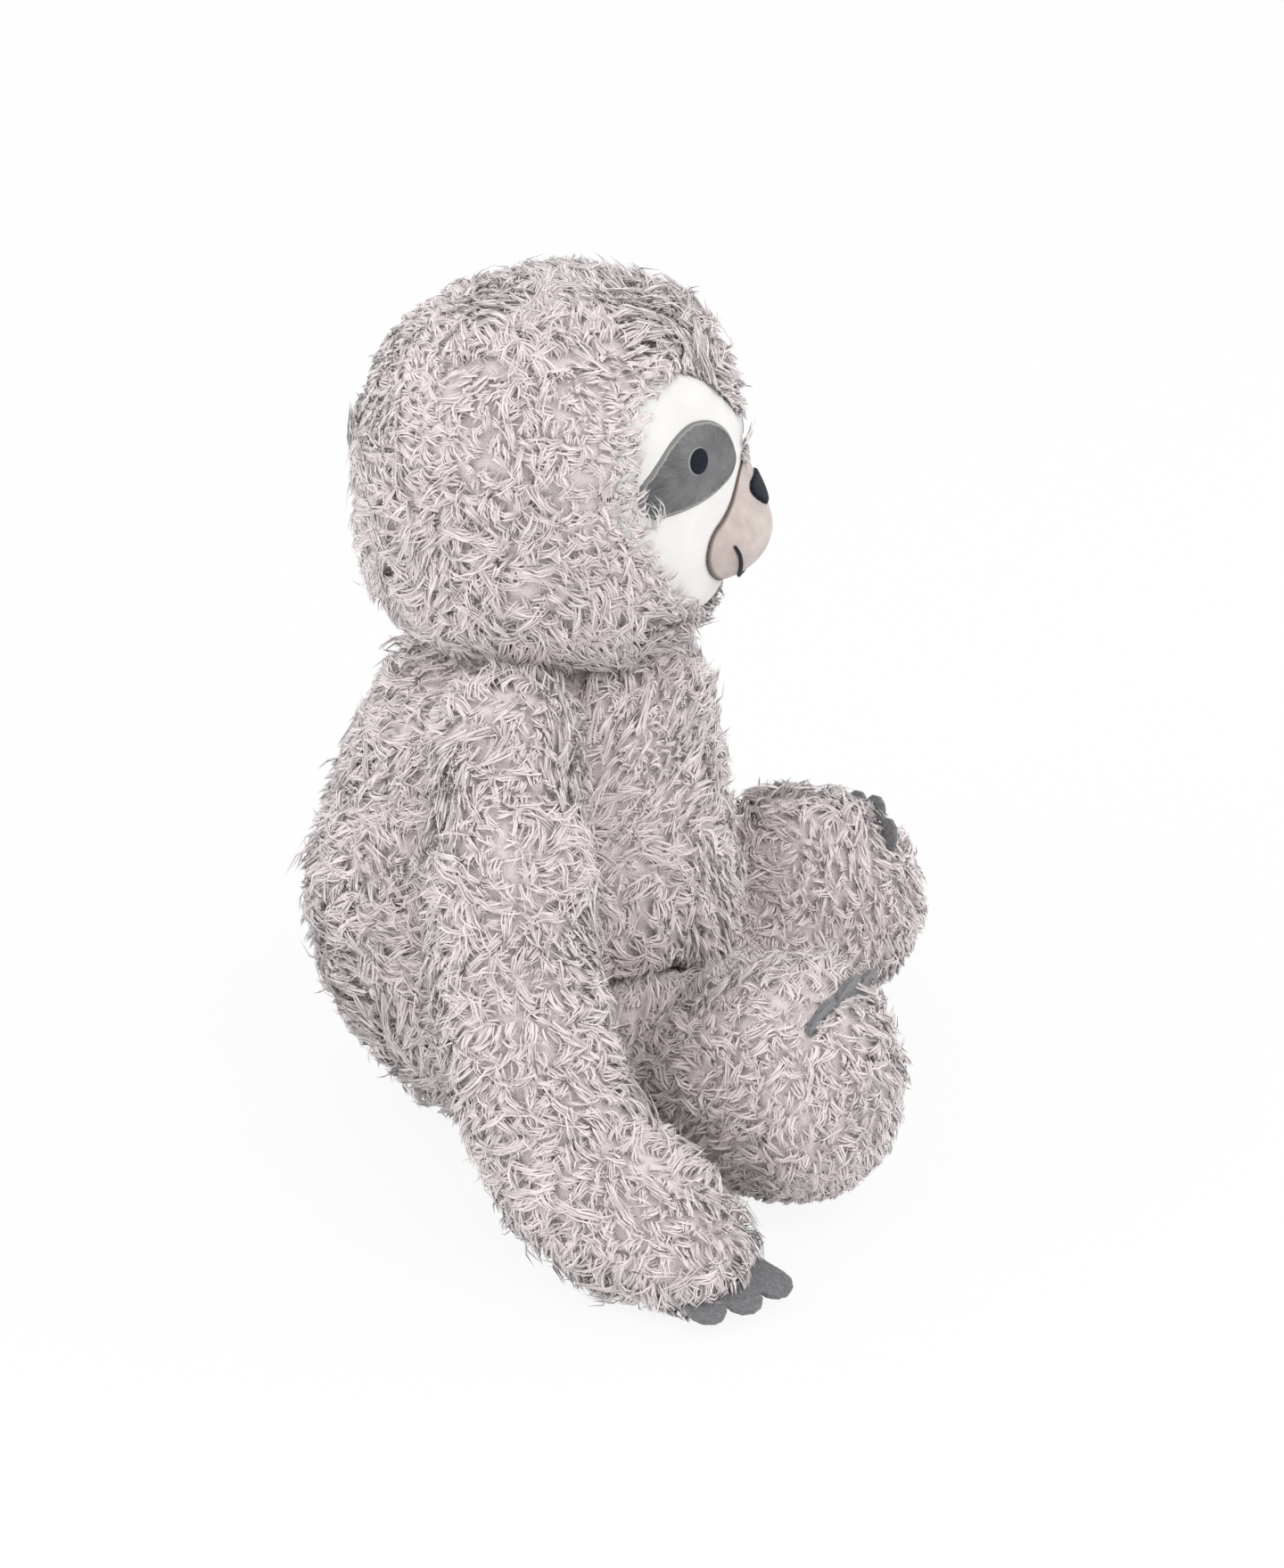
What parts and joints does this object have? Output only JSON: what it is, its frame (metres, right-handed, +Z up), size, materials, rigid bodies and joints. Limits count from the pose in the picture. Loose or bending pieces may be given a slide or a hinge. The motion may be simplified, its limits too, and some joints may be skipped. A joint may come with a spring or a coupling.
{
  "type": "plush sloth",
  "caption": "Sitting plush sloth with curly fur, long arms, stubby legs, felt claws and a white face with embroidered eye patches and a padded muzzle.",
  "frame": {"origin": "centre of the flat seat under the body, on the floor", "axes": "+Z up, the sloth faces -Y, its own left side is +X"},
  "size_m": [0.3234, 0.1995, 0.284],
  "materials": {
    "fur": "long curly pile",
    "white": "short pile",
    "taupe": "smooth brushed cloth",
    "grey": "satin stitch embroidery",
    "black": "satin stitch embroidery",
    "felt": "felt",
    "thread": "sewing thread",
    "filling": "loose polyester fibre",
    "pellets": "cloth bag of plastic pellets"
  },
  "bodies": {
    "torso": {"torso_cover": "fur", "torso_filling": "filling", "seat_pellet_bag": "pellets"},
    "neck_ring": {"neck_seam": "thread"},
    "head": {"head_cover": "fur", "head_filling": "filling", "face_panel": "white", "eye_patch_left": "grey", "eye_patch_right": "grey", "pupil_left": "black", "pupil_right": "black", "muzzle_cover": "taupe", "muzzle_filling": "filling", "nose_patch": "black", "mouth_stitch": "black"},
    "arm_left": {"arm_cover_left": "fur", "arm_filling_left": "filling", "hand_claws_left": "felt"},
    "leg_left": {"leg_cover_left": "fur", "leg_filling_left": "filling", "foot_claws_left": "felt"},
    "arm_right": {"arm_cover_right": "fur", "arm_filling_right": "filling", "hand_claws_right": "felt"},
    "leg_right": {"leg_cover_right": "fur", "leg_filling_right": "filling", "foot_claws_right": "felt"}
  },
  "joints": [
    {"name": "neck_nod", "type": "hinge", "parent": "torso", "child": "neck_ring", "pos_m": [0, -0.00902, 0.11598], "axis": [1, 0, 0], "range_deg": [-10, 10]},
    {"name": "neck_turn", "type": "hinge", "parent": "neck_ring", "child": "head", "pos_m": [0, -0.00902, 0.11598], "axis": [0, 0, 1], "range_deg": [-35, 35]},
    {"name": "shoulder_left", "type": "hinge", "parent": "torso", "child": "arm_left", "pos_m": [0.062, -0.00398, 0.15504], "axis": [0, -1, 0], "range_deg": [0, 90]},
    {"name": "hip_left", "type": "hinge", "parent": "torso", "child": "leg_left", "pos_m": [0.042, -0.042, 0.03502], "axis": [-0.887, -0.4617, 0], "range_deg": [-45, 10]},
    {"name": "shoulder_right", "type": "hinge", "parent": "torso", "child": "arm_right", "pos_m": [-0.062, -0.00398, 0.15504], "axis": [0, 1, 0], "range_deg": [0, 90]},
    {"name": "hip_right", "type": "hinge", "parent": "torso", "child": "leg_right", "pos_m": [-0.042, -0.042, 0.03502], "axis": [-0.887, 0.4617, 0], "range_deg": [-45, 10]}
  ]
}
